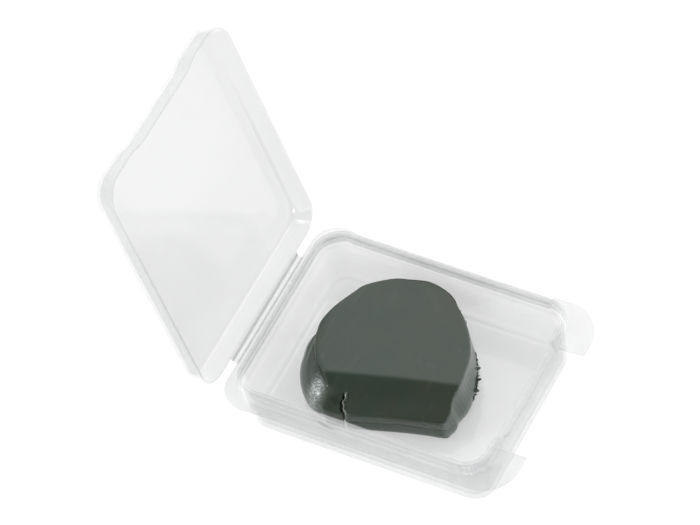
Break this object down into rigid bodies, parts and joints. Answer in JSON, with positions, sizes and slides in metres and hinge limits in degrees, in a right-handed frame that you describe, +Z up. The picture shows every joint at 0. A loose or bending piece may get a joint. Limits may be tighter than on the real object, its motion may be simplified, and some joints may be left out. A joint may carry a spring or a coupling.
{
  "type": "clay bar in hinged plastic case",
  "caption": "Lump of detailing clay in an open, frosted plastic case with a living hinge and skirted lid.",
  "frame": {"origin": "centre of the tray's flat underside, on the surface it stands on", "axes": "+X from the hinge to the latch side, +Y along the hinge, +Z up"},
  "size_m": [0.1552, 0.0906, 0.134],
  "materials": {
    "tray_plastic": "frosted translucent polypropylene",
    "web_plastic": "thin translucent polypropylene",
    "lid_plastic": "frosted translucent polypropylene, glossy inside",
    "clay": "smooth kneaded clay with a soft gloss"
  },
  "bodies": {
    "tray": {"tray": "tray_plastic", "hinge_web": "web_plastic"},
    "lid": {"lid": "lid_plastic"},
    "clay": {"clay": "clay"}
  },
  "joints": [
    {"name": "lid_hinge", "type": "hinge", "parent": "tray", "child": "lid", "pos_m": [-0.058, 0, 0.0211], "axis": [0, -1, 0], "range_deg": [-102, 78]},
    {"name": "clay_lift", "type": "slide", "parent": "tray", "child": "clay", "axis": [0, 0, 1], "range_m": [0, 0.034]}
  ]
}
